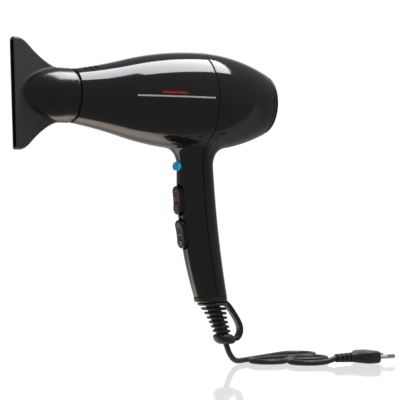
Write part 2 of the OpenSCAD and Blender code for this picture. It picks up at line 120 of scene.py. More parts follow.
def cutAway(obj, cutter, sharp=34.0):
    # takes the cutter's solids out of a piece, then drops the cutter
    step = obj.modifiers.new("cut", "BOOLEAN")
    step.operation, step.solver, step.object = "DIFFERENCE", "EXACT", cutter
    applyModifiers(obj, sharp)
    bpy.data.objects.remove(cutter, do_unlink=True)


def finishPiece(obj, body, slotName, *nodes):
    obj.data.materials.clear()
    obj.data.materials.append(finish[slotName])
    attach(obj, body)
    if nodes:
        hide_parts(*nodes)
    return obj


# camera

camera = {"place": (-0.69427, -1.20436, -0.00556), "tilt": 91.0695, "turn": -30.0, "lens": 135.0}
camData = bpy.data.cameras.new("studioCamera")
camData.lens, camData.sensor_width, camData.clip_end = camera["lens"], 36.0, 30.0
camObj = addObject("studioCamera", camData)
camObj.location = camera["place"]
camObj.rotation_euler = (radians(camera["tilt"]), 0, radians(camera["turn"]))
scene.camera = camObj
print("camera placed")

# finishes

finish = {}


def fillSockets(tree, node, values):
    # an output is linked, anything else is set as the plain value
    for key, value in values.items():
        if isinstance(value, bpy.types.NodeSocket):
            tree.links.new(value, node.inputs[key])
        else:
            node.inputs[key].default_value = value


def addNode(tree, kind, inputs=None, **settings):
    made = tree.nodes.new(kind)
    for key, value in settings.items():
        setattr(made, key, value)
    fillSockets(tree, made, inputs or {})
    return made


def useGroup(tree, group, **values):
    return addNode(tree, "ShaderNodeGroup", values, node_tree=group)


def calcNode(tree, how, *values, clamped=False):
    return addNode(tree, "ShaderNodeMath", dict(enumerate(values)), operation=how, use_clamp=clamped).outputs[0]


def mixNode(tree, share, first, second):
    return addNode(tree, "ShaderNodeMix", {"Factor": share, 6: first, 7: second}, data_type="RGBA").outputs[2]


def rampNode(tree, value, span, ends=(0.0, 1.0), eased=False):
    # goes from one end to the other while the value crosses the span, and stays there
    takes = {"Value": value, "From Min": span[0], "From Max": span[1], "To Min": ends[0], "To Max": ends[1]}
    kind = "SMOOTHSTEP" if eased else "LINEAR"
    return addNode(tree, "ShaderNodeMapRange", takes, interpolation_type=kind).outputs[0]


def noiseNode(tree, place, size, detail, **more):
    takes = {"Vector": place, "Scale": size, "Detail": detail, **more}
    return addNode(tree, "ShaderNodeTexNoise", takes).outputs["Fac"]


def bumpNode(tree, height, strength, distance, **more):
    takes = {"Strength": strength, "Distance": distance, "Height": height, **more}
    return addNode(tree, "ShaderNodeBump", takes).outputs[0]


def objectPlace(tree):
    return addNode(tree, "ShaderNodeTexCoord").outputs["Object"]


def reachAlong(tree, place, way):
    return addNode(tree, "ShaderNodeVectorMath", {0: place, 1: way}, operation="DOT_PRODUCT").outputs["Value"]


def newGroup(name, takes, gives):
    group = bpy.data.node_groups.new(name, "ShaderNodeTree")
    for label, value in takes.items():
        kind = "NodeSocketColor" if isinstance(value, tuple) else "NodeSocketFloat"
        group.interface.new_socket(label, in_out="INPUT", socket_type=kind).default_value = value
    for label, kind in gives.items():
        group.interface.new_socket(label, in_out="OUTPUT", socket_type="NodeSocket" + kind)
    return group, group.nodes.new("NodeGroupInput").outputs, group.nodes.new("NodeGroupOutput").inputs


def newMaterial(name):
    made = bpy.data.materials.new(name)
    made.use_nodes = True
    return made, made.node_tree, made.node_tree.nodes["Principled BSDF"]


smudge = {"detail": 4.0, "roughness": 0.62, "twist": 0.8, "speckFineness": 14.0, "speckShare": 0.35, "middle": 0.67}


def buildHandlingMarks():
    # faint smears and finer specks that change how sharply a face shines
    group, takes, gives = newGroup("handlingMarks", {"Roughness": 0.3, "Spread": 0.1, "Size": 30.0},
                                   {"Roughness": "Float"})
    place = objectPlace(group)
    smear = noiseNode(group, place, takes["Size"], smudge["detail"], Roughness=smudge["roughness"],
                      Distortion=smudge["twist"])
    speck = noiseNode(group, place, calcNode(group, "MULTIPLY", takes["Size"], smudge["speckFineness"]), 2.0)
    both = calcNode(group, "MULTIPLY_ADD", speck, smudge["speckShare"], smear)
    centred = calcNode(group, "SUBTRACT", both, smudge["middle"])
    shifted = calcNode(group, "MULTIPLY_ADD", centred, takes["Spread"], takes["Roughness"], clamped=True)
    group.links.new(shifted, gives["Roughness"])
    return group


moulding = {"grainDetail": 3.0, "grainHeight": 0.0002, "waveSize": 22.0, "waveDetail": 1.0, "waveHeight": 0.002}


def buildMouldGrain():
    # the fine texture a mould leaves, as a normal
    group, takes, gives = newGroup("mouldGrain", {"Size": 900.0, "Depth": 0.1, "Wave": 0.02}, {"Normal": "Vector"})
    place = objectPlace(group)
    grain = noiseNode(group, place, takes["Size"], moulding["grainDetail"])
    slow = noiseNode(group, place, moulding["waveSize"], moulding["waveDetail"])
    low = bumpNode(group, slow, takes["Wave"], moulding["waveHeight"])
    group.links.new(bumpNode(group, grain, takes["Depth"], moulding["grainHeight"], Normal=low), gives["Normal"])
    return group


wearing = {"edge": (0.515, 0.6), "patchSize": 160.0, "patch": (0.42, 0.68), "cloudSize": 55.0,
           "cloud": (0.45, 0.75), "dustColor": (0.42, 0.40, 0.37, 1)}


def buildEdgeWear():
    # convex edges polished or scuffed to another colour, broken up by noise, with dust lying in patches
    starts = {"Color": (0.1, 0.1, 0.1, 1), "Worn": (0.3, 0.3, 0.3, 1), "Amount": 0.3, "Dust": 0.05}
    group, takes, gives = newGroup("edgeWear", starts, {"Color": "Color", "Mask": "Float"})
    place = objectPlace(group)
    edge = rampNode(group, addNode(group, "ShaderNodeNewGeometry").outputs["Pointiness"], wearing["edge"])
    broken = rampNode(group, noiseNode(group, place, wearing["patchSize"], 5.0), wearing["patch"])
    worn = calcNode(group, "MULTIPLY", edge, broken)
    amount = calcNode(group, "MULTIPLY", worn, takes["Amount"], clamped=True)
    veil = rampNode(group, noiseNode(group, place, wearing["cloudSize"], 6.0, Roughness=0.7), wearing["cloud"])
    dust = calcNode(group, "MULTIPLY", veil, takes["Dust"])
    scuffed = mixNode(group, amount, takes["Color"], takes["Worn"])
    group.links.new(mixNode(group, dust, scuffed, wearing["dustColor"]), gives["Color"])
    group.links.new(amount, gives["Mask"])
    return group


handlingMarks, mouldGrain, edgeWear = buildHandlingMarks(), buildMouldGrain(), buildEdgeWear()


def grey(level):
    return (level, level, level)


def coat(weight, roughness, **more):
    return {"Coat Weight": weight, "Coat Roughness": roughness, **more}


# color and worn: face and rubbed edges. rough and spread: shine. smear, grain and wave: texture. plain: bare values
finishBook = {
    "housing": dict(
        color=(0.0105, 0.0102, 0.0100), worn=grey(0.05), wear=0.35, dust=0.002, rough=0.085, spread=0.05,
        smear=26, grain=1500, depth=0.006, wave=0.006, plain=coat(0.35, 0.03, IOR=1.46)),
    "nozzle_plastic": dict(
        color=(0.060, 0.054, 0.049), worn=(0.16, 0.15, 0.14), wear=0.45, dust=0.006, rough=0.52, spread=0.05,
        smear=34, grain=2600, depth=0.05, wave=0.006, plain=coat(0.4, 0.22, IOR=1.5)),
    "black_plastic": dict(
        color=grey(0.009), worn=grey(0.06), dust=0.008, rough=0.30, smear=40, grain=2400, depth=0.06,
        wave=0.01, plain={"IOR": 1.48}),
    "rubber": dict(
        color=(0.017, 0.0162, 0.0152), worn=(0.06, 0.058, 0.054), wear=0.45, dust=0.03, rough=0.46, spread=0.16,
        smear=60, grain=3200, depth=0.2, wave=0.02,
        plain={"IOR": 1.52, "Sheen Weight": 0.06, "Sheen Roughness": 0.5}),
    "red_print": dict(
        color=(0.55, 0.012, 0.018), worn=(0.25, 0.03, 0.03), wear=0.2, rough=0.34, smear=80, grain=3000,
        depth=0.08, plain=coat(0.4, 0.12)),
    "grey_print": dict(
        color=(0.36, 0.36, 0.35), worn=grey(0.2), wear=0.2, dust=0.03, rough=0.42, spread=0.1, smear=80,
        grain=3000, depth=0.08),
    "white_print": dict(
        color=grey(0.80), worn=grey(0.5), wear=0.2, rough=0.30, spread=0.1, smear=80, grain=3000,
        depth=0.06, plain=coat(0.4, 0.1)),
    "white_plastic": dict(
        color=(0.62, 0.63, 0.65), worn=(0.5, 0.5, 0.48), wear=0.2, dust=0.04, rough=0.34, smear=90, grain=2500,
        plain={"Subsurface Weight": 0.08, "Subsurface Scale": 0.002}),
    "nickel": dict(
        color=(0.60, 0.59, 0.57), worn=(0.78, 0.72, 0.60), wear=0.5, rough=0.24, spread=0.2, smear=120,
        grain=1800, metal=1.0),
    "steel": dict(
        color=(0.48, 0.48, 0.49), worn=grey(0.7), wear=0.5, dust=0.04, rough=0.32, spread=0.2, smear=120,
        grain=1500, depth=0.14, metal=1.0),
    "mica": dict(
        color=(0.50, 0.42, 0.28), worn=(0.66, 0.58, 0.42), dust=0.06, rough=0.36, spread=0.25, smear=70, grain=700,
        depth=0.25, wave=0.02, plain=coat(0.3, 0.25)),
    "heating_wire": dict(
        color=(0.30, 0.28, 0.26), worn=(0.5, 0.42, 0.34), dust=0.03, rough=0.42, spread=0.2, smear=200, grain=2400,
        depth=0.2, metal=1.0),
    "brass": dict(
        color=(0.66, 0.47, 0.20), worn=(0.8, 0.62, 0.32), dust=0.03, rough=0.30, spread=0.2, smear=120, grain=1600,
        depth=0.12, metal=1.0),
    "copper": dict(
        color=(0.60, 0.25, 0.13), worn=(0.8, 0.42, 0.28), rough=0.28, spread=0.2, smear=160, grain=1200,
        depth=0.3, metal=1.0),
    "fan_plastic": dict(
        color=(0.055, 0.056, 0.060), worn=grey(0.14), wear=0.5, dust=0.10, rough=0.42, spread=0.16, smear=60,
        grain=2200, depth=0.12),
    "wire_sheath": dict(
        color=(0.16, 0.055, 0.022), worn=(0.3, 0.14, 0.08), wear=0.2, dust=0.04, rough=0.38, smear=120, grain=2600,
        plain=coat(0.2, 0.2)),
    "film_capacitor": dict(
        color=(0.42, 0.30, 0.05), worn=(0.55, 0.45, 0.2), dust=0.05, rough=0.34, smear=90, grain=1800,
        plain=coat(0.2, 0.2)),
}


def makeFinish(name, color, worn, rough, smear, grain, wear=0.4, dust=0.02, spread=0.12, depth=0.1, wave=0.0,
               metal=0.0, plain=None):
    made, tree, shader = newMaterial(name + "_finish")
    paint = useGroup(tree, edgeWear, Color=(*color, 1), Worn=(*worn, 1), Amount=wear, Dust=dust)
    marks = useGroup(tree, handlingMarks, Roughness=rough, Spread=spread, Size=float(smear))
    skin = useGroup(tree, mouldGrain, Size=float(grain), Depth=depth, Wave=wave)
    paint.name, marks.name = "paint", "marks"
    fillSockets(tree, shader, {"Base Color": paint.outputs["Color"], "Roughness": marks.outputs["Roughness"],
                               "Normal": skin.outputs["Normal"], "Metallic": metal, **(plain or {})})
    return made


for slotName, recipe in finishBook.items():
    finish[slotName] = makeFinish(slotName, **recipe)

# painted light on the button: faceDepth and sideDepth bound the painted shade on the sunk end, face is that painted
# shade, side the lighter painted side, and the emission in plain a painted glow
buttonShadeAndGlow = {"faceDepth": 0.0001, "sideDepth": 0.0026, "face": (0.006, 0.16, 0.40, 1),
              "side": (0.01, 0.52, 0.95, 1), "worn": (0.2, 0.6, 0.85, 1), "wear": 0.4, "dust": 0.02,
              "rough": 0.2, "spread": 0.12, "smear": 90.0,
              "plain": {"Emission Strength": 0.35, "Coat Weight": 0.7, "Coat Roughness": 0.05,
                        "Subsurface Weight": 0.25, "Subsurface Scale": 0.004}}


def makeButtonShadeAndGlow():
    # cyan moulded button with painted light: painted shade darkens its sunk end face, the side is painted lighter,
    # and the same colour is given out as a faint painted glow
    made, tree, shader = newMaterial("blue_button_finish")
    x = addNode(tree, "ShaderNodeSeparateXYZ", {0: objectPlace(tree)}).outputs[0]
    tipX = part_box("cold_shot_button")[0][0]
    depth = rampNode(tree, x, (tipX + buttonShadeAndGlow["faceDepth"], tipX + buttonShadeAndGlow["sideDepth"]))
    shade = mixNode(tree, depth, buttonShadeAndGlow["face"], buttonShadeAndGlow["side"])
    paint = useGroup(tree, edgeWear, Color=shade, Worn=buttonShadeAndGlow["worn"], Amount=buttonShadeAndGlow["wear"],
                     Dust=buttonShadeAndGlow["dust"])
    marks = useGroup(tree, handlingMarks, Roughness=buttonShadeAndGlow["rough"], Spread=buttonShadeAndGlow["spread"],
                     Size=buttonShadeAndGlow["smear"])
    fillSockets(tree, shader, {"Base Color": paint.outputs["Color"], "Roughness": marks.outputs["Roughness"],
                               "Emission Color": shade, **buttonShadeAndGlow["plain"]})
    return made


# mouthX, halfSlot, rimX and the near-black colour set the painted shade in the nozzle's slot and on its front rim
nozzleShade = {"axisZ": 0.1115, "turn": -4.5, "melt": (0.0051, 0.0085), "horn": (0.0045, 0.0043, 0.004, 1),
               "hornRough": 0.20, "mouthX": -0.1805, "halfSlot": 0.0037, "rimX": -0.1855,
               "mouthShade": (0.003, 0.003, 0.003, 1)}


def shadeNozzle():
    # the flat plate is matte and lighter, the horn that runs into it is darker and satin
    tree, plate = finish["nozzle_plastic"].node_tree, finishBook["nozzle_plastic"]
    place, turn = objectPlace(tree), radians(nozzleShade["turn"])
    middle = addNode(tree, "ShaderNodeVectorMath", {0: place, 1: (0, 0, nozzleShade["axisZ"])}, operation="SUBTRACT")
    side = calcNode(tree, "ABSOLUTE", reachAlong(tree, middle.outputs[0], (0, cos(turn), sin(turn))))
    horn = rampNode(tree, side, nozzleShade["melt"], eased=True)
    shade = mixNode(tree, horn, (*plate["color"], 1), nozzleShade["horn"])
    # painted shade: the mouth is painted black inside the slot and across its front rim, where shade falls
    x = addNode(tree, "ShaderNodeSeparateXYZ", {0: place}).outputs[0]
    deep = calcNode(tree, "LESS_THAN", x, nozzleShade["mouthX"])
    inside = calcNode(tree, "LESS_THAN", side, nozzleShade["halfSlot"])
    rim = calcNode(tree, "LESS_THAN", x, nozzleShade["rimX"])
    mouthShade = calcNode(tree, "MAXIMUM", calcNode(tree, "MULTIPLY", deep, inside), rim)
    tree.links.new(mixNode(tree, mouthShade, shade, nozzleShade["mouthShade"]), tree.nodes["paint"].inputs["Color"])
    dull = rampNode(tree, horn, (0.0, 1.0), (plate["rough"], nozzleShade["hornRough"]))
    tree.links.new(dull, tree.nodes["marks"].inputs["Roughness"])


shadeNozzle()
finish["blue_button"] = makeButtonShadeAndGlow()
print("finishes mixed")

# the cord, its plug and pins

cordSpec = {"diameter": 5.2, "floorZ": -134.0, "foldRadius": 16.3, "sleeveEnd": (29.036, 0.0, -113.799),
            "tilt": 21.5, "firstHeading": 30.0, "foldSteps": 9, "bevel": 6, "smoothness": 8,
            # the middle of each fold, and which way it turns
            "folds": [(137, 42, -1), (76.1, 0.4, 1), (123.2, 0.9, -1), (102, -27.3, 1)],
            "plug": (123.5, -43.6, -128.0)}
lieZ = cordSpec["floorZ"] + cordSpec["diameter"] / 2


def foldHeading(i):
    folds = cordSpec["folds"]
    if i == 0:
        return cordSpec["firstHeading"]
    if i == len(folds):
        return 0.0
    (ax, ay, turn), (bx, by, _) = folds[i - 1], folds[i]
    tangent = degrees(asin(2 * cordSpec["foldRadius"] / hypot(bx - ax, by - ay)))
    return degrees(atan2(by - ay, bx - ax)) + turn * tangent


def foldPoints(i):
    (x, y, turn), r, steps = cordSpec["folds"][i], cordSpec["foldRadius"], cordSpec["foldSteps"]
    sweep = (turn * (foldHeading(i + 1) - foldHeading(i))) % 360
    angles = [radians(foldHeading(i) - 90 * turn + turn * sweep * k / steps) for k in range(steps + 1)]
    return [(x + r * cos(a), y + r * sin(a), lieZ) for a in angles]


endX, endY, endZ = cordSpec["sleeveEnd"]
leanX, leanZ = sin(radians(cordSpec["tilt"])), -cos(radians(cordSpec["tilt"]))
plugX, plugY, plugZ = cordSpec["plug"]
# out of the sleeve, down to the floor, through the hank's folds and up into the plug
cordRoute = [(endX, endY, endZ), (endX + 4 * leanX, endY, endZ + 4 * leanZ), (33, 0.7, -122.4), (36.6, 2.1, -126.5),
             (42, 5.2, -129.9), (48.5, 9.3, -131.2), (55.5, 13.8, lieZ), (74, 24.8, lieZ), (97, 38, lieZ)]
cordRoute += foldPoints(0) + [(107, 21.6, lieZ)] + foldPoints(1) + foldPoints(2) + foldPoints(3)
cordRoute += [(112, plugY, lieZ + 0.6), (118, plugY, lieZ + 1.8), cordSpec["plug"]]


def makeCord():
    line = bpy.data.curves.new("mains_cord", "CURVE")
    line.dimensions, line.bevel_depth = "3D", cordSpec["diameter"] / 2 * mm
    line.bevel_resolution, line.resolution_u = cordSpec["bevel"], cordSpec["smoothness"]
    run = line.splines.new("BEZIER")
    run.bezier_points.add(len(cordRoute) - 1)
    for knot, place in zip(run.bezier_points, cordRoute):
        knot.co = Vector(place) * mm
        knot.handle_left_type = knot.handle_right_type = "AUTO"
    return addObject("mains_cord", line), run.calc_length()


mainsCord, cordLength = makeCord()
finishPiece(mainsCord, "root", "rubber", "cord")

plugSpec = {"width": 30.0, "thick": 12.0, "length": 43.0, "boot": 18.0, "bootR": (3.9, 4.6), "flare": 13.0,
            "slots": (5.3, 10.1, 14.9), "slotDepth": 1.5, "slotHalf": 0.62, "slotSide": 0.22, "squareness": 6.2,
            # the body's face towards the pins: place, and how far its outline draws in
            "face": ((31.6, 0), (40.2, 0), (40.9, 0.12), (41.5, 0.5), (42.3, 1.25), (42.8, 1.75), (43, 2.1))}


def squircle(halfW, halfT, power, count=64):
    points = []
    for k in range(count):
        a = 2 * pi * (k + 0.5) / count
        c, s = cos(a), sin(a)
        w, t = halfW * abs(c) ** (2 / power), halfT * abs(s) ** (2 / power)
        points.append((w if c > 0 else -w, t if s > 0 else -t))
    return points


def makePlug():
    bm = bmesh.new()
    rings = []
    wide, thick = plugSpec["width"] / 2, plugSpec["thick"] / 2
    boot, (r0, r1) = plugSpec["boot"], plugSpec["bootR"]

    def section(x, halfW, halfT, power):
        rings.append([(plugX + x, plugY + w, plugZ + t) for w, t in squircle(halfW, halfT, power)])

    section(0.0, r0 - 0.5, r0 - 0.5, 2)
    section(0.15, r0 - 0.1, r0 - 0.1, 2)
    for x in linspace(0.5, boot, 72):
        near = min(abs(x - s) for s in plugSpec["slots"])
        groove = plugSpec["slotDepth"] * (1 - smoothstep((near - plugSpec["slotHalf"]) / plugSpec["slotSide"]))
        r = r0 + (r1 - r0) * x / boot - groove
        section(x, r, r, 2.2)
    for t in linspace(0, 1, 15)[1:]:
        grow = smoothstep(t)
        section(boot + plugSpec["flare"] * t, r1 + (wide - r1) * (0.7 * t + 0.3 * grow), r1 + (thick - r1) * t,
                2.2 + 4.0 * grow)
    for x, inset in plugSpec["face"]:
        section(x, wide - inset, thick - inset * 0.75, plugSpec["squareness"])
    loftRings(bm, rings)
    return toObject(bm, "flat_plug", 38)


finishPiece(makePlug(), "root", "rubber", "plug_body")

pinSpec = {"gap": 18.6, "sleeveR": 1.95, "sleeveLength": 10.0, "tipR": 2.0, "tipLength": 9.0, "nose": 1.9}


def makePins(name, r, start, length, bullet):
    bm = bmesh.new()
    x0 = plugX + plugSpec["length"] + start
    x1, nose = x0 + length, pinSpec["nose"]
    if bullet:
        shape = [(x0, 0), (x0, r - 0.15), (x0 + 0.15, r)]
        shape += [(x1 - nose + nose * sin(a), r * (0.25 + 0.75 * cos(a))) for a in linspace(0, pi / 2, 10)]
        shape.append((x1, 0))
    else:
        shape = [(x0, 0), (x0, r), (x1 - 0.25, r), (x1 - 0.05, r - 0.2), (x1, 0)]
    for side in (-1, 1):
        part = bmesh.new()
        lathe(part, shape, 48, closed=False)
        bmesh.ops.translate(part, vec=(0, plugY + side * pinSpec["gap"] / 2, plugZ), verts=part.verts)
        mesh = bpy.data.meshes.new("part")
        part.to_mesh(mesh)
        part.free()
        bm.from_mesh(mesh)
        bpy.data.meshes.remove(mesh)
    return toObject(bm, name, 38, 0.01)


pinSleeves = makePins("pin_sleeves", pinSpec["sleeveR"], 0, pinSpec["sleeveLength"], bullet=False)
finishPiece(pinSleeves, "root", "white_plastic", "plug_sleeves")
pinTips = makePins("pin_tips", pinSpec["tipR"], pinSpec["sleeveLength"], pinSpec["tipLength"], bullet=True)
finishPiece(pinTips, "root", "nickel", "plug_pins")
print("cord laid, %.0f mm, and its plug moulded" % (cordLength * 1000))

# the shells

barrel = {"axisZ": 111.5, "maxR": 45.3, "crownX": -3.0, "frontArc": 290.0, "rearArc": 160.0, "neckX": -80.0,
          "neckArc": 420.0, "frontX": -130.0, "capX": 62.0, "rimRound": 8.0, "rimX": 65.0, "wall": 2.2,
          "splitX": -4.5, "seam": 0.34, "lip": 0.9, "lipGap": 0.15, "tongue": 1.9, "rebate": 2.4}
handle = {"gripA": 18.6, "share": 0.87, "leanArc": 507.0, "leanTopZ": 60.0, "leanTopX": -4.5, "gripZ": 5.0,
          "taper": 0.00047, "filletZ": 51.5, "endZ": -69.0, "reachA": 12.6, "reachB": 8.6, "wall": 2.2,
          "pullUp": 0.60, "pullOut": 0.62}


def arcDrop(arc, run):
    return arc - sqrt(arc * arc - run * run)


neckRun = barrel["crownX"] - barrel["neckX"]
neckSlope = neckRun / sqrt(barrel["frontArc"] ** 2 - neckRun ** 2)


def barrelR(x):
    if x > barrel["crownX"]:
        return barrel["maxR"] - arcDrop(barrel["rearArc"], x - barrel["crownX"])
    if x > barrel["neckX"]:
        return barrel["maxR"] - arcDrop(barrel["frontArc"], barrel["crownX"] - x)
    back = barrel["neckX"] - x
    neckR = barrel["maxR"] - arcDrop(barrel["frontArc"], neckRun)
    return neckR - neckSlope * back + back * back / (2 * barrel["neckArc"])


rimA = asin((barrel["rimX"] - barrel["crownX"]) / barrel["rearArc"])
rimCx = barrel["rimX"] - barrel["rimRound"] * sin(rimA)
rimCr = barrelR(barrel["rimX"]) - barrel["rimRound"] * cos(rimA)
rearX = rimCx + barrel["rimRound"]


def handleX(z):
    return handle["leanTopX"] + arcDrop(handle["leanArc"], min(0.0, z - handle["leanTopZ"]))


def handleA(z):
    return handle["gripA"] - handle["taper"] * (min(z, handle["filletZ"]) - handle["gripZ"]) ** 2


def handleFront(z):
    return handleX(z) - handleA(z)


def barrelFloor(x, y):
    # height of the barrel's underside, and how it slopes along X and Y
    r = barrelR(x)
    root = sqrt(max(r * r - y * y, 1.0))
    slopeR = (barrelR(x + 0.05) - barrelR(x - 0.05)) / 0.1
    return barrel["axisZ"] - root, -r * slopeR / root, y / root


def ovalPoint(angle, inward, z):
    a = handleA(z)
    across = (a * handle["share"] - inward) * sin(angle)
    return Vector((handleX(z) + (a - inward) * cos(angle), across, z))


def handlePoint(angle, inward, level):
    # level is a height below the fillet, or (share,) of the way up the fillet
    if not isinstance(level, tuple):
        return ovalPoint(angle, inward, level)
    z0 = handle["filletZ"]
    a = handleA(z0)
    b = a * handle["share"]
    start = ovalPoint(angle, inward, z0)
    bx = barrel["splitX"] + (a + handle["reachA"] - inward) * cos(angle)
    by = (b + handle["reachB"] - inward) * sin(angle)
    top, slopeX, slopeY = barrelFloor(bx, by)
    away = Vector((a * cos(angle), b * sin(angle))).normalized()
    tangent = Vector((away.x, away.y, slopeX * away.x + slopeY * away.y)).normalized()
    end = Vector((bx, by, top + 0.03 + 0.7 * inward))
    run = hypot(end.x - start.x, end.y - start.y)
    up = Vector((handleX(z0 + 5) - handleX(z0 - 5), 0, 10)).normalized()
    p1 = start + up * (handle["pullUp"] * (end.z - start.z))
    p2 = end - tangent * (handle["pullOut"] * run)
    t = level[0]
    return start * (1 - t) ** 3 + p1 * 3 * t * (1 - t) ** 2 + p2 * 3 * t * t * (1 - t) + end * t ** 3


def shellSection(side, level, count=56):
    # a closed band round half the handle. side -1 is the front half, which carries the tongue
    a = handle["gripA"]
    edge, middle = barrel["seam"] / a, pi if side < 0 else 0.0
    over = -barrel["tongue"] / a if side < 0 else barrel["rebate"] / a
    lip = barrel["lip"] + (0 if side < 0 else barrel["lipGap"])
    lo, hi = middle - pi / 2, middle + pi / 2
    path = [(lo + edge, 0.55), (lo + edge + 0.012, 0.14)]
    path += [(q, 0.0) for q in linspace(lo + edge, hi - edge, count)[1:-1]]
    path += [(hi - edge - 0.012, 0.14), (hi - edge, 0.55), (hi - edge, lip), (hi - over, lip)]
    path += [(q, handle["wall"]) for q in linspace(hi - over, lo + over, count)]
    path += [(lo + over, lip), (lo + edge, lip)]
    return [handlePoint(q, inward, level) for q, inward in path]


def barrelProfile(side):
    wall, lip, split, cap = barrel["wall"], barrel["lip"], barrel["splitX"], barrel["capX"]
    if side < 0:
        front, end, tip = barrel["frontX"], split - barrel["seam"], split + barrel["tongue"]
        outer = [(front, barrelR(front) - 0.35)]
        outer += [(x, barrelR(x)) for x in [front + 0.3] + linspace(front, end - 0.4, 66)[1:]]
        step = [(end - 0.12, barrelR(end) - 0.1), (end, barrelR(end) - 0.4), (end, barrelR(end) - lip),
                (tip, barrelR(split) - lip)]
        return outer + step + [(x, barrelR(x) - wall) for x in linspace(tip, front, 50)]
    start, inside, lip = split + barrel["seam"], split + barrel["rebate"], lip + barrel["lipGap"]
    step = [(start, barrelR(start) - lip), (start, barrelR(start) - 0.4), (start + 0.12, barrelR(start) - 0.1)]
    outer = [(x, barrelR(x)) for x in linspace(start + 0.4, cap - 0.5, 50)]
    rim = [(cap - 0.22, barrelR(cap) - 0.12), (cap - 0.18, barrelR(cap) - 0.5)]
    inner = [(x, barrelR(x) - wall) for x in linspace(cap - 0.18, inside, 40)]
    return step + outer + rim + inner + [(inside, barrelR(split) - lip)]


def liftToAxis(bm):
    bmesh.ops.translate(bm, vec=(0, 0, barrel["axisZ"]), verts=bm.verts)


def atPlace(place, turn=0.0, axis="Y"):
    return Matrix.Translation(place) @ Matrix.Rotation(turn, 4, axis)


def addRod(bm, r, depth, matrix, segments):
    rod = bmesh.ops.create_cone(bm, cap_ends=True, segments=segments, radius1=r, radius2=r, depth=depth)["verts"]
    bmesh.ops.transform(bm, matrix=matrix, verts=rod)


def addBlock(bm, size, matrix):
    solid = bmesh.ops.create_cube(bm, size=1.0)["verts"]
    bmesh.ops.scale(bm, vec=size, verts=solid)
    bmesh.ops.transform(bm, matrix=matrix, verts=solid)


def shellHalf(side, name):
    bm = bmesh.new()
    lathe(bm, barrelProfile(side), 192)
    liftToAxis(bm)
    levels = [handle["endZ"], handle["endZ"] + 0.25] + linspace(handle["endZ"] + 1.5, handle["filletZ"], 62)
    levels += [(t,) for t in linspace(0.0, 1.0, 26)[1:]]
    rings = [shellSection(side, level) for level in levels]
    loftRings(bm, rings)
    return toObject(bm, name, 32, 0.0002)


rocker = {"length": 26.6, "width": 13.6, "proud": 3.2, "gap": 0.6, "dish": 60.5, "dishOut": 63.0, "pivot": 9.0,
          # the rounded edge and flat top: how far each ring draws in, and how far it drops
          "crown": ((0, 1.1), (0.04, 0.8), (0.16, 0.5), (0.36, 0.24), (0.62, 0.07), (0.95, 0.0), (1.5, 0), (2.2, 0),
                    (3.2, 0), (4.4, 0), (5.6, 0), (6.79, 0)),
          "arm": (8, 9.2, 6), "armDepth": 6.2, "axleR": 1.2, "axleLength": 13.6}
rockerZ = {"heat": 20.0, "speed": -11.0}
button = {"z": 51.2, "r": 3.9, "front": 4.1, "gap": 0.3}
gripMark = {"count": 3, "size": (2.1, 7.0, 3.2), "firstX": -121, "pitch": 5, "proud": 0.25, "round": 20, "lean": -25}
screwWell = {"heights": (38.0, -46.0), "r": 2.9, "floor": 4, "length": 30}
buttonX = handleFront(button["z"])


def rockerFrame(z):
    # local Z points out of the handle and local X runs up it
    lean = atan((handleFront(z + 1) - handleFront(z - 1)) / 2)
    return atPlace((handleFront(z), 0, z), lean) @ Matrix.Rotation(-pi / 2, 4, "Y")


def stadium(length, width, inset, count=20):
    straight, r = (length - width) / 2, max(width / 2 - inset, 0.0)
    right = [(straight + r * cos(a), r * sin(a)) for a in linspace(-pi / 2, pi / 2, count)]
    left = [(-straight + r * cos(a), r * sin(a)) for a in linspace(pi / 2, 3 * pi / 2, count)]
    along = linspace(straight, -straight, 14)[1:-1]
    return right + [(u, r) for u in along] + left + [(-u, -r) for u in along]


def makeFrontCutter():
    bm = bmesh.new()
    for z in rockerZ.values():
        place = rockerFrame(z)
        outline = stadium(rocker["length"] + 5 * rocker["gap"], rocker["width"] + rocker["gap"], 0)
        loftRings(bm, [[place @ Vector((u, v, w)) for u, v in outline] for w in (-14, 10)])
    addRod(bm, button["r"] + button["gap"], 20, atPlace((buttonX, 0, button["z"]), pi / 2), 48)
    for i in range(gripMark["count"]):   # short grip marks beside the outlet
        x = gripMark["firstX"] + gripMark["pitch"] * i
        around = atPlace((0, 0, barrel["axisZ"]), radians(gripMark["round"]), "X")
        tilt = atPlace((x, 0, barrelR(x) + gripMark["proud"]), radians(gripMark["lean"]))
        addBlock(bm, gripMark["size"], around @ tilt)
    return toObject(bm, "frontCutter")


def makeRearCutter():
    bm = bmesh.new()
    for z in screwWell["heights"]:
        x = handleX(z) + screwWell["floor"] + screwWell["length"] / 2
        addRod(bm, screwWell["r"], screwWell["length"], atPlace((x, 0, z), pi / 2), 40)
    return toObject(bm, "rearCutter")


frontShell = shellHalf(-1, "front_shell_glossy")
cutAway(frontShell, makeFrontCutter(), 32)
finishPiece(frontShell, "root", "housing", "front_shell")
rearShell = shellHalf(1, "rear_shell_glossy")
cutAway(rearShell, makeRearCutter(), 32)
finishPiece(rearShell, "root", "housing", "rear_shell")
print("shells formed")

# outlet ring and nozzle

# stations are the ring's front and back, its seat, its inner end and the spigot's tip
outlet = {"stations": (-133.0, -131.1, -130.15, -122.0, -142.0), "spigotR": 21.2, "recess": 1.5, "wall": 1.8}
nozzle = {"collarX": -143.0, "fanX": -177.0, "lipX": -185.7, "lipHalf": 49.5, "collarR": 24.3, "rimX": -133.6,
          "tipX": -181.5, "thick": 10.0, "turn": -4.5, "wall": 2.0, "sweep": 1.6, "lipRound": 0.22, "edgeRound": 2.6,
          "hornCurve": 1.75, "melt": 4.5, "notches": 8, "notch": (3.4, 4.0, 1.3), "notchX": -135}


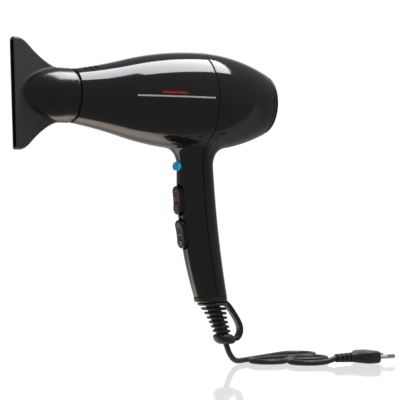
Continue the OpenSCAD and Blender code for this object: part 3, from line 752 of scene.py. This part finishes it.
def makeOutletRing():
    bm = bmesh.new()
    x, back, seat, inside, tip = outlet["stations"]
    r, s, wall = barrelR(barrel["frontX"]) - outlet["recess"], outlet["spigotR"], outlet["wall"]
    lathe(bm, [(x, s), (x, r - 0.4), (x + 0.15, r - 0.1), (x + 0.5, r), (back - 0.5, r), (back - 0.2, r - 0.1),
               (back, r - 0.4), (seat, r - 0.4), (seat, r - 0.85), (inside, r - 0.85), (inside, s - wall),
               (tip, s - wall), (tip, s - 0.4), (tip + 0.4, s)], 160)
    liftToAxis(bm)
    return toObject(bm, "outlet_ring_gloss", 30)


finishPiece(makeOutletRing(), "root", "black_plastic", "outlet_ring")


def nozzleHalfHeight(x):
    # the fan's sweep rounds off into the straight lip
    share = max(0.0, (nozzle["collarX"] - x) / (nozzle["collarX"] - nozzle["fanX"])) ** nozzle["sweep"]
    span = nozzle["lipRound"]
    soft = max(0.0, span - abs(share - 1.0)) / span
    share = min(share, 1.0) - 0.25 * span * soft * soft
    return nozzle["collarR"] + (nozzle["lipHalf"] - nozzle["collarR"]) * share


def nozzleHalfWidth(x, z, inset=0.0):
    # the flat plate and the round horn melt into each other
    collarR, edge, melt = nozzle["collarR"] - inset, nozzle["edgeRound"], nozzle["melt"]
    share = max(0.0, min(1.0, (nozzle["collarX"] - x) / (nozzle["collarX"] - nozzle["tipX"])))
    if share <= 0:
        return sqrt(max(0.0, collarR ** 2 - z * z))
    near = (abs(z) - (nozzleHalfHeight(x) - inset - edge)) / edge
    plate = (nozzle["thick"] / 2 - inset) * (1.0 if near <= 0 else sqrt(max(0.0, 1 - near ** 2)))
    hornR = max(0.5, collarR * sqrt(1 - share ** nozzle["hornCurve"]))
    horn = hornR * sqrt(max(0.0, 1 - (z / hornR) ** 2)) if abs(z) < hornR else 0.0
    plate *= 0.3 + 0.7 * smoothstep((nozzle["collarX"] - x) / 6) if abs(z) < collarR else 1.0
    return (plate ** melt + horn ** melt) ** (1 / melt)


def makeNozzle():
    bm = bmesh.new()
    heights = [sin(radians(a)) for a in linspace(-90, 90, 75)]
    wall, rim, collar, lip = nozzle["wall"], nozzle["rimX"], nozzle["collarX"], nozzle["lipX"]

    def section(x, inset):
        high = (nozzleHalfHeight(x) if x < collar else nozzle["collarR"]) - inset
        left = [(x, -nozzleHalfWidth(x, high * h, inset), barrel["axisZ"] + high * h) for h in heights]
        return left[:-1] + [(x, -y, z) for x, y, z in reversed(left)][:-1]

    xs = [rim - 0.3] + linspace(-135, collar, 7) + linspace(collar, lip + 0.6, 64)[1:]
    outer = [section(rim, 0.35)] + [section(x, 0.0) for x in xs] + [section(lip + 0.15, 0.12), section(lip, 0.5)]
    inner = [section(lip, wall - 0.4), section(lip + 0.3, wall - 0.05)]
    inner += [section(x, wall) for x in reversed(xs)] + [section(rim, wall)]
    loftRings(bm, outer + inner + [outer[0]], caps=False)
    obj = toObject(bm, "nozzle_horn", 36, 0.002)
    cutter = bmesh.new()
    for i in range(nozzle["notches"]):
        turn = Matrix.Rotation(radians(45 * i + 22), 4, "X")
        addBlock(cutter, nozzle["notch"], turn @ Matrix.Translation((nozzle["notchX"], nozzle["collarR"] + 0.6, 0)))
    liftToAxis(cutter)
    cutAway(obj, toObject(cutter, "notchCutter"), 36)
    axis = (0, 0, barrel["axisZ"] * mm)
    obj.data.transform(atPlace(axis, radians(nozzle["turn"]), "X") @ Matrix.Translation(-Vector(axis)))
    return obj


finishPiece(makeNozzle(), "nozzle", "nozzle_plastic", "nozzle")
print("nozzle formed")

# rear cap

rearCap = {"gap": 0.3, "thick": 2.4, "lap": 7, "holeR": 1.9, "holeRings": ((0.0, 1), (6, 8), (11.5, 14), (17, 20))}


def makeRearCap():
    bm = bmesh.new()
    cap, lap, r = barrel["capX"], barrel["capX"] - rearCap["lap"], barrel["rimRound"]
    skirt, back = barrelR(cap) - barrel["wall"] - rearCap["gap"], rearX - rearCap["thick"]
    outer = [(cap, skirt), (cap + 0.02, barrelR(cap) - 0.5), (cap + 0.06, barrelR(cap) - 0.12),
             (cap + 0.4, barrelR(cap + 0.4)), (cap + 1.5, barrelR(cap + 1.5))]
    outer += [(rimCx + r * sin(a), rimCr + r * cos(a)) for a in linspace(rimA, pi / 2, 16)]
    # a shallow groove runs round the flat face
    face = [(rearX - deep, away) for deep, away in ((0, 27.6), (0.15, 27.2), (0.8, 26.9), (0.95, 26.5), (0.95, 24.4),
                                                    (0.8, 24.0), (0.15, 23.7), (0, 23.3), (0, 0.0))]
    inner = [(back, 0.0), (back, rimCr), (cap + 2, skirt - 1.4), (lap, skirt - 1.4), (lap, skirt - 0.3),
             (lap + 0.3, skirt)]
    lathe(bm, outer + face + inner, 176)
    liftToAxis(bm)
    obj = toObject(bm, "intake_cover_gloss", 30, 0.001)
    cutter = bmesh.new()
    for away, count in rearCap["holeRings"]:
        for a in linspace(0, 2 * pi, count + 1)[:-1]:
            place = (rearX - 1, away * sin(a), barrel["axisZ"] + away * cos(a))
            addRod(cutter, rearCap["holeR"], 9, atPlace(place, pi / 2), 20)
    cutAway(obj, toObject(cutter, "holeCutter"), 30)
    return obj


finishPiece(makeRearCap(), "intake_cover", "black_plastic", "rear_filter_cap")
print("rear cap turned")

# rockers and button


def rockerTop(u):
    dip = sqrt(rocker["dish"] ** 2 - min(abs(u), rocker["length"] / 2) ** 2)
    return min(rocker["proud"], rocker["dishOut"] - dip)


def makeRocker(name, z):
    bm = bmesh.new()
    place = rockerFrame(z)
    rings = []

    def ring(inset, height):
        outline = stadium(rocker["length"], rocker["width"], inset)
        rings.append([place @ Vector((u, v, height(u))) for u, v in outline])

    ring(0.3, lambda u: -3.5)
    ring(0, lambda u: -3.2)
    for inset, down in rocker["crown"]:
        ring(inset, lambda u: rockerTop(u) - down)
    loftRings(bm, rings)
    addBlock(bm, rocker["arm"], place @ Matrix.Translation((0, 0, -rocker["armDepth"])))
    addRod(bm, rocker["axleR"], rocker["axleLength"], place @ atPlace((0, 0, -rocker["pivot"]), pi / 2, "X"), 32)
    return toObject(bm, name, 30)


for which, z in rockerZ.items():
    finishPiece(makeRocker(which + "_rocker_cap", z), which + "_rocker", "black_plastic", which + "_rocker")


def makeButton():
    # stem, flange and sunk face
    bm = bmesh.new()
    r, f = button["r"], -button["front"]
    lathe(bm, [(8.4, 0), (8.4, 1.3), (8.2, 1.5), (3.8, 1.5), (3.8, 5.3), (3.7, 5.4), (2.7, 5.4), (2.6, 5.3),
               (2.6, r), (f + 0.7, r), (f + 0.3, r - 0.1), (f + 0.08, r - 0.34), (f, r - 0.6), (f + 0.02, r - 0.9),
               (f + 0.2, r - 1.05), (f + 0.7, r - 1.15), (f + 0.8, r - 1.3), (f + 0.62, r - 2.6), (f + 0.55, 0)],
          64, closed=False)
    bmesh.ops.translate(bm, vec=(buttonX, 0, button["z"]), verts=bm.verts)
    return toObject(bm, "cold_shot_cap", 40, 0.002)


finishPiece(makeButton(), "cold_shot", "blue_button", "cold_shot_button")
spring = {"coilR": 3.2, "wireR": 0.3, "turns": 4.5, "restLength": 7.1, "seat": 11.0, "travel": 2.5, "steps": 150}
springSeatX = buttonX + spring["seat"]


def makeSpring():
    # a helix between the switch and the button's flange, its ends closed
    bm = bmesh.new()
    r, wire, run = spring["coilR"], spring["wireR"], spring["restLength"] - 2 * spring["wireR"]
    rise = run / (2 * pi * spring["turns"])
    rings = []
    for share in linspace(0, 1, spring["steps"] + 1):
        a = 2 * pi * spring["turns"] * share
        out = Vector((0, cos(a), sin(a)))
        middle = Vector((springSeatX - wire - run * share, 0, button["z"])) + out * r
        side = Vector((-rise, -r * sin(a), r * cos(a))).normalized().cross(out)
        rings.append([middle + (out * cos(q) + side * sin(q)) * wire for q in linspace(0, 2 * pi, 9)[:-1]])
    loftRings(bm, rings)
    return toObject(bm, "return_spring", 60)


returnSpring = finishPiece(makeSpring(), "root", "steel", "cold_shot_spring")
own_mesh(returnSpring)
print("rockers, button and its spring moulded")

# rubber sleeve and hanging strap

sleeve = {"tilt": 21.5, "flangeZ": -71.0, "fins": 7, "firstFin": 5.4, "pitch": 4.2, "coreR": 5.6, "finHalf": 1.15,
          # drop below the flange against how far the flange draws in, then against the knob's radius
          "flange": ((-2.0, 2.6), (-1.95, 0.5), (-1.7, 0.15), (-1.3, 0.0), (1.6, 0.1), (2.5, 0.35), (3.1, 0.9),
                     (3.4, 1.7)),
          "knob": ((32.6, 5.5), (33.2, 6.2), (33.7, 7.4), (34.3, 8.6), (35.0, 9.35), (36.0, 9.85), (37.2, 10.08),
                   (38.4, 10.1), (39.6, 9.9), (40.7, 9.4), (41.7, 8.5), (42.4, 7.2), (42.75, 5.6), (42.8, 3.0),
                   (42.8, 2.7))}


def sleeveX(drop):
    return handleX(handle["endZ"]) + drop * tan(radians(sleeve["tilt"]))


def finR(i):
    return 8 + 6 * exp(-0.42 * i)


def makeSleeve():
    bm = bmesh.new()
    x0, a0 = handleX(handle["endZ"]), handleA(handle["endZ"])
    b0 = a0 * handle["share"]
    turn = linspace(0, 2 * pi, 97)[:-1]
    rings = []

    def oval(drop, a, b, x=None):
        cx = sleeveX(drop) if x is None else x
        rings.append([(cx + a * cos(q), b * sin(q), sleeve["flangeZ"] - drop) for q in turn])

    # flange that closes the handle's end, then the fins, the neck and the knob
    for drop, shrink in sleeve["flange"]:
        oval(drop, a0 - shrink, b0 - shrink, x0 + 0.15 * max(0.0, drop))
    for i in range(sleeve["fins"]):
        middle, r, h = sleeve["firstFin"] + sleeve["pitch"] * i, finR(i), sleeve["finHalf"]
        core = sleeve["coreR"] + 0.7 * exp(-0.5 * i)
        foot = [(3.5, core + 2.6)] if i == 0 else []
        foot += [(middle - h - 0.42, core + 0.5), (middle - h - 0.22, core + 1.2)]
        edge = [(middle + h * sin(radians(q)), r - 0.9 + 0.9 * cos(radians(q)) * (1.0 if q > -50 else 0.96))
                for q in linspace(-80, 80, 9)]
        for drop, away in foot + edge + [(middle + h + 0.22, core + 1.1), (middle + h + 0.42, core + 0.4)]:
            oval(drop, away, away)
    for drop, r in sleeve["knob"]:
        oval(drop, r, r)
    loftRings(bm, rings)
    return toObject(bm, "cord_sleeve", 50)


finishPiece(makeSleeve(), "root", "rubber", "strain_relief")

strap = {"line": [(24, -72.5), (30.5, -77.5), (36.5, -85), (41.5, -92.5), (44, -98.5), (43.8, -104), (41, -108.5),
                  (36.5, -109.6)],
         "thick": 4.6, "wide": 8.0, "ribPitch": 1.5, "ribHeight": 0.22, "groove": 0.75, "steps": 300}


def strapPlaces():
    # even steps along a smooth line through the strap's points
    pts = [Vector((x, 0, z)) for x, z in strap["line"]]
    pts = [pts[0] * 2 - pts[1]] + pts + [pts[-1] * 2 - pts[-2]]
    fine = []
    for i in range(1, len(pts) - 2):
        p0, p1, p2, p3 = pts[i - 1:i + 3]
        for k in range(40):
            t = k / 40
            curve = 2 * p1 + (p2 - p0) * t + (2 * p0 - 5 * p1 + 4 * p2 - p3) * t * t
            fine.append(0.5 * (curve + (3 * p1 - p0 - 3 * p2 + p3) * t ** 3))
    fine.append(pts[-2])
    runs = [0.0]
    for a, b in zip(fine, fine[1:]):
        runs.append(runs[-1] + (b - a).length)
    places, j = [], 0
    for s in linspace(0, runs[-1], strap["steps"]):
        while j < len(runs) - 2 and runs[j + 1] < s:
            j += 1
        places.append((s, fine[j].lerp(fine[j + 1], (s - runs[j]) / (runs[j + 1] - runs[j]))))
    return places


def makeStrap():
    bm = bmesh.new()
    places = strapPlaces()
    rings = []
    halfT, halfW = strap["thick"] / 2, strap["wide"] / 2
    for i, (s, p) in enumerate(places):
        ahead = (places[min(i + 1, len(places) - 1)][1] - places[max(i - 1, 0)][1]).normalized()
        out = Vector((-ahead.z, 0, ahead.x))   # towards the loop's outside
        rib = strap["ribHeight"] * (0.5 + 0.5 * cos(2 * pi * s / strap["ribPitch"]))
        ring = []
        for t, w in squircle(halfT, halfW, 4.2, 56):
            # a groove along each side, and the ribs lifted on the outer face
            pinch = strap["groove"] * exp(-((t + 0.25) / 0.42) ** 2) if abs(w) > halfW * 0.7 else 0.0
            lift = (rib - strap["ribHeight"]) * smoothstep((t - 0.2) / 0.8)
            rise = lift if abs(w) < halfW * 0.85 else 0
            spread = (lift if w > 0 else -lift) if t > 0.3 else 0
            ring.append(p + out * (t + rise) + Vector((0, w * (1 - pinch / halfW) + spread, 0)))
        rings.append(ring)
    loftRings(bm, rings)
    return toObject(bm, "hanging_strap", 45)


finishPiece(makeStrap(), "root", "rubber", "hanging_loop")
print("sleeve and strap moulded")

# the CAD pieces that stay: each keeps its shape and takes a finish

stayed = set()
replaced = {"front_shell", "rear_shell", "outlet_ring", "nozzle", "rear_filter_cap", "heat_rocker", "speed_rocker",
            "cold_shot_button", "cold_shot_spring", "strain_relief", "hanging_loop", "cord", "plug_body",
            "plug_sleeves", "plug_pins"}
gauze = {"threads": 620.0, "gap": (0.02, 0.02, 0.02, 1), "wire": (0.42, 0.42, 0.43, 1), "depth": 0.6,
         "height": 0.0002}


def makeGauze():
    # fine woven wire, crossing in Y and Z
    made = finish["steel"].copy()
    made.name = "gauze_finish"
    tree = made.node_tree
    takes = {"Vector": objectPlace(tree), "Scale": gauze["threads"]}
    threads = [addNode(tree, "ShaderNodeTexWave", takes, bands_direction=axis) for axis in ("Y", "Z")]
    weave = calcNode(tree, "MAXIMUM", *(thread.outputs["Fac"] for thread in threads))
    fillSockets(tree, tree.nodes["Principled BSDF"], {
        "Base Color": mixNode(tree, weave, gauze["gap"], gauze["wire"]),
        "Normal": bumpNode(tree, weave, gauze["depth"], gauze["height"])})
    return made


gauzeFinish = makeGauze()
for nodeName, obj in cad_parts.items():
    for holder in obj.material_slots:
        slotName = holder.material.name.split(".")[0] if holder.material else ""
        if slotName in finish and nodeName not in replaced:
            holder.material = gauzeFinish if nodeName == "filter_gauze" else finish[slotName]
            stayed.add(nodeName)
print("finishes on", len(stayed), "kept pieces")

# floor and light

studio = {"floorZ": -0.1342, "floorSize": 40.0, "viewWay": (0.5, 0.866, 0), "viewAcross": (0.866, -0.5, 0),
          # what the gloss sees of the floor: a plain floor with a warm pool of light under the barrel
          "plain": (0.21, 0.205, 0.20, 1), "pool": (2.3, 2.0, 1.75, 1), "poolEdge": (-0.012, 0.012),
          "poolFar": (0.02, 0.24), "poolFarEnds": (1.0, 0.13), "poolSide": (-0.04, 0.05),
          "poolSideEnds": (1.0, 0.10),
          # what the camera sees of it: white with soft contact shadows and a faint mirror image
          "matte": (0.06, 0.06, 0.06, 1), "glow": 1.0, "mirrorRough": 0.04, "grazing": (0.78, 0.94),
          "mirror": (0.04, 0.40), "fade": (0.35, 1.5)}


def makeFloor():
    bm = bmesh.new()
    bmesh.ops.create_grid(bm, x_segments=1, y_segments=1, size=studio["floorSize"])
    bmesh.ops.translate(bm, vec=(0, 0, studio["floorZ"]), verts=bm.verts)
    mesh = bpy.data.meshes.new("pale_floor")
    bm.to_mesh(mesh)
    bm.free()
    made, tree, _ = newMaterial("pale_floor")
    tree.nodes.clear()
    place = objectPlace(tree)
    away = reachAlong(tree, place, studio["viewWay"])
    near = rampNode(tree, away, studio["poolEdge"], eased=True)
    far = rampNode(tree, away, studio["poolFar"], studio["poolFarEnds"], eased=True)
    across = reachAlong(tree, place, studio["viewAcross"])
    left = rampNode(tree, across, studio["poolSide"], studio["poolSideEnds"], eased=True)
    pool = calcNode(tree, "MULTIPLY", calcNode(tree, "MULTIPLY", near, far), left)
    bounce = addNode(tree, "ShaderNodeEmission", {"Color": mixNode(tree, pool, studio["plain"], studio["pool"])})
    matte = addNode(tree, "ShaderNodeBsdfDiffuse", {"Color": studio["matte"]})
    glow = addNode(tree, "ShaderNodeEmission", {"Color": (1, 1, 1, 1), "Strength": studio["glow"]})
    lit = addNode(tree, "ShaderNodeAddShader", {0: matte.outputs[0], 1: glow.outputs[0]})
    mirror = addNode(tree, "ShaderNodeBsdfGlossy", {"Color": (1, 1, 1, 1), "Roughness": studio["mirrorRough"]})
    facing = addNode(tree, "ShaderNodeLayerWeight", {"Blend": 0.5}).outputs["Facing"]
    share = rampNode(tree, facing, studio["grazing"], studio["mirror"])
    reach = addNode(tree, "ShaderNodeVectorMath", {0: place}, operation="LENGTH").outputs["Value"]
    glint = calcNode(tree, "MULTIPLY", share, rampNode(tree, reach, studio["fade"], (1.0, 0.0), eased=True))
    shine = addNode(tree, "ShaderNodeMixShader", {0: glint, 1: lit.outputs[0], 2: mirror.outputs[0]})
    direct = addNode(tree, "ShaderNodeLightPath").outputs["Is Camera Ray"]
    seen = addNode(tree, "ShaderNodeMixShader", {0: direct, 1: bounce.outputs[0], 2: shine.outputs[0]})
    addNode(tree, "ShaderNodeOutputMaterial", {"Surface": seen.outputs[0]})
    mesh.materials.append(made)
    addObject("pale_floor", mesh)


makeFloor()

softBoxes = {"topBox": dict(place=(0.335, -0.085, 1.11), aim=(0.335, -0.0851, 0.0), size=(0.83, 0.72), radiance=9.5,
                            tint=(0.95, 0.98, 1.0), spin=14),
             "frontFill": dict(place=(-1.5, -1.5, 0.35), aim=(0.0, 0.0, 0.05), size=(0.9, 0.9), radiance=2.2,
                               tint=(1.0, 0.96, 0.92), mirrored=False)}


def addSoftBox(name, place, aim, size, radiance, tint, mirrored=True, spin=0.0):
    lamp = bpy.data.lights.new(name, "AREA")
    lamp.shape, lamp.size, lamp.size_y, lamp.color = "RECTANGLE", size[0], size[1], tint
    lamp.energy = radiance * pi * size[0] * size[1]
    obj = addObject(name, lamp)
    obj.location = place
    obj.visible_glossy = mirrored
    aimed = (Vector(aim) - Vector(place)).to_track_quat("-Z", "Y").to_matrix()
    obj.rotation_euler = (Matrix.Rotation(radians(spin), 3, "Z") @ aimed).to_euler()


for name, look in softBoxes.items():
    addSoftBox(name, **look)

backdrop = {"span": (0.80, 0.97), "room": (0.22, 0.215, 0.21, 1), "wall": (1.04, 1.03, 1.01, 1),
            "seen": (1.05, 1.05, 1.05, 1)}


def makeBackdrop():
    # dim all round, bright behind the object, and white where the camera looks straight at it
    world = bpy.data.worlds.new("studioWorld")
    scene.world = world
    world.use_nodes = True
    tree = world.node_tree
    way = addNode(tree, "ShaderNodeTexCoord").outputs["Generated"]
    behind = rampNode(tree, reachAlong(tree, way, studio["viewWay"]), backdrop["span"], eased=True)
    around = mixNode(tree, behind, backdrop["room"], backdrop["wall"])
    direct = addNode(tree, "ShaderNodeLightPath").outputs["Is Camera Ray"]
    tree.links.new(mixNode(tree, direct, around, backdrop["seen"]), tree.nodes["Background"].inputs["Color"])


makeBackdrop()
scene.view_settings.view_transform = "Standard"
print("studio lit")
